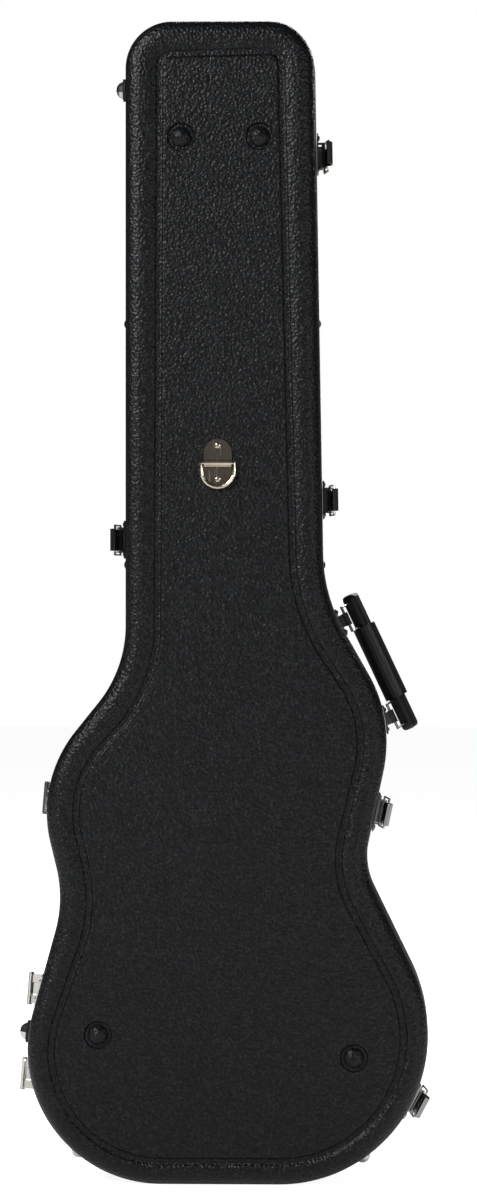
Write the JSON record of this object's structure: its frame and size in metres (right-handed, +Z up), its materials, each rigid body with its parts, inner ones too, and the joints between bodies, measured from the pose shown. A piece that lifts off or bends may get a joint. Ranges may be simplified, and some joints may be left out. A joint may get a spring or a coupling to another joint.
{
  "type": "electric guitar case",
  "caption": "Hard moulded case for a solid-body electric guitar, with a hinged lid, draw latches, folding handle and strap ring.",
  "frame": {"origin": "centre of the case's footprint as it stands on its lower end", "axes": "+Z up the case from the body end to the headstock end, -Y out of the back, +Y out of the lid, +X towards the handle"},
  "size_m": [0.3842, 0.1139, 1.0705],
  "materials": {
    "abs_shell": "grained black ABS",
    "rim_aluminium": "extruded, satin",
    "boss_rubber": "matte",
    "handle_vinyl": "grained soft vinyl",
    "plush": "short black plush",
    "board": "flocked board",
    "ribbon": "woven",
    "warm_nickel": "warm nickel plate",
    "dark_chrome": "dark polished plate",
    "nickel": "bright nickel plate"
  },
  "bodies": {
    "case_base": {"accessory_box": "board", "accessory_pin": "nickel", "base_rim": "rim_aluminium", "base_shell": "abs_shell", "box_rivet_handle": "abs_shell", "box_rivet_spine": "abs_shell", "cradle_rivet_handle": "abs_shell", "cradle_rivet_spine": "abs_shell", "end_foot_handle": "nickel", "end_foot_handle_boss": "boss_rubber", "end_foot_spine": "nickel", "end_foot_spine_boss": "boss_rubber", "foam_insert": "plush", "glide_lower": "nickel", "glide_lower_boss": "boss_rubber", "glide_upper": "nickel", "glide_upper_boss": "boss_rubber", "handle_lower_bracket": "dark_chrome", "handle_upper_bracket": "dark_chrome", "hinge_lower_base_leaf": "nickel", "hinge_lower_pin": "nickel", "hinge_middle_base_leaf": "nickel", "hinge_middle_pin": "nickel", "hinge_upper_base_leaf": "nickel", "hinge_upper_pin": "nickel", "latch_bout_base": "dark_chrome", "latch_head_base": "dark_chrome", "latch_neck_base": "dark_chrome", "latch_spine_base": "dark_chrome", "latch_waist_base": "dark_chrome", "neck_cradle": "plush", "strap_plate": "warm_nickel"},
    "lid": {"lid_shell": "abs_shell", "lid_rim": "rim_aluminium", "lid_padding": "plush", "hinge_lower_lid_leaf": "nickel", "hinge_middle_lid_leaf": "nickel", "hinge_upper_lid_leaf": "nickel", "latch_bout_catch": "dark_chrome", "latch_head_catch": "dark_chrome", "latch_neck_catch": "dark_chrome", "latch_spine_catch": "dark_chrome", "latch_waist_catch": "dark_chrome"},
    "head_lever": {"latch_head_lever": "dark_chrome"},
    "head_bail": {"latch_head_bail": "nickel"},
    "neck_lever": {"latch_neck_lever": "dark_chrome"},
    "neck_bail": {"latch_neck_bail": "nickel"},
    "waist_lever": {"latch_waist_lever": "dark_chrome"},
    "waist_bail": {"latch_waist_bail": "nickel"},
    "bout_lever": {"latch_bout_lever": "dark_chrome"},
    "bout_bail": {"latch_bout_bail": "nickel"},
    "spine_lever": {"latch_spine_lever": "dark_chrome"},
    "spine_bail": {"latch_spine_bail": "nickel"},
    "handle": {"handle_grip": "handle_vinyl", "handle_upper_loop": "nickel", "handle_lower_loop": "nickel"},
    "strap_ring": {"strap_ring": "warm_nickel"},
    "accessory_lid": {"accessory_lid": "board", "accessory_pull_tab": "ribbon"}
  },
  "joints": [
    {"name": "lid_hinge", "type": "hinge", "parent": "case_base", "child": "lid", "pos_m": [-0.16657, 0.015, 0.35142], "axis": [0.0808, 0, 0.9967], "range_deg": [0, 105]},
    {"name": "head_lever_turn", "type": "hinge", "parent": "case_base", "child": "head_lever", "pos_m": [0.09444, 0.006, 0.95212], "axis": [-0.0164, 0, 0.9999], "range_deg": [0, 105]},
    {"name": "head_bail_turn", "type": "hinge", "parent": "head_lever", "child": "head_bail", "pos_m": [0.09874, 0.0045, 0.95219], "axis": [-0.0164, 0, 0.9999], "range_deg": [-126, 0]},
    {"name": "neck_lever_turn", "type": "hinge", "parent": "case_base", "child": "neck_lever", "pos_m": [0.09974, 0.006, 0.63012], "axis": [-0.0164, 0, 0.9999], "range_deg": [0, 105]},
    {"name": "neck_bail_turn", "type": "hinge", "parent": "neck_lever", "child": "neck_bail", "pos_m": [0.10403, 0.0045, 0.63019], "axis": [-0.0164, 0, 0.9999], "range_deg": [-126, 0]},
    {"name": "waist_lever_turn", "type": "hinge", "parent": "case_base", "child": "waist_lever", "pos_m": [0.14861, 0.006, 0.33851], "axis": [0.207, 0, 0.9783], "range_deg": [0, 105]},
    {"name": "waist_bail_turn", "type": "hinge", "parent": "waist_lever", "child": "waist_bail", "pos_m": [0.15282, 0.0045, 0.33762], "axis": [0.207, 0, 0.9783], "range_deg": [-126, 0]},
    {"name": "bout_lever_turn", "type": "hinge", "parent": "case_base", "child": "bout_lever", "pos_m": [0.18092, 0.006, 0.06862], "axis": [0.4696, 0, 0.8829], "range_deg": [0, 105]},
    {"name": "bout_bail_turn", "type": "hinge", "parent": "bout_lever", "child": "bout_bail", "pos_m": [0.18471, 0.0045, 0.0666], "axis": [0.4696, 0, 0.8829], "range_deg": [-126, 0]},
    {"name": "spine_lever_turn", "type": "hinge", "parent": "case_base", "child": "spine_lever", "pos_m": [-0.0966, 0.006, 0.593], "axis": [0, 0, -1], "range_deg": [0, 105]},
    {"name": "spine_bail_turn", "type": "hinge", "parent": "spine_lever", "child": "spine_bail", "pos_m": [-0.1009, 0.0045, 0.593], "axis": [0, 0, -1], "range_deg": [-126, 0]},
    {"name": "handle_swing", "type": "hinge", "parent": "case_base", "child": "handle", "pos_m": [0.13649, -0.016, 0.47419], "axis": [0.4247, 0, -0.9054], "range_deg": [0, 141]},
    {"name": "strap_ring_swing", "type": "hinge", "parent": "case_base", "child": "strap_ring", "pos_m": [-0.003, -0.0536, 0.662], "axis": [-1, 0, 0], "range_deg": [0, 150]},
    {"name": "accessory_lid_lift", "type": "hinge", "parent": "case_base", "child": "accessory_lid", "pos_m": [0.00046, -0.014, 0.7575], "axis": [1, 0, 0], "range_deg": [0, 10]}
  ],
  "couplings": [
    {"joint": "head_bail_turn", "follows": "head_lever_turn", "ratio": -1.2},
    {"joint": "neck_bail_turn", "follows": "neck_lever_turn", "ratio": -1.2},
    {"joint": "waist_bail_turn", "follows": "waist_lever_turn", "ratio": -1.2},
    {"joint": "bout_bail_turn", "follows": "bout_lever_turn", "ratio": -1.2},
    {"joint": "spine_bail_turn", "follows": "spine_lever_turn", "ratio": -1.2}
  ]
}
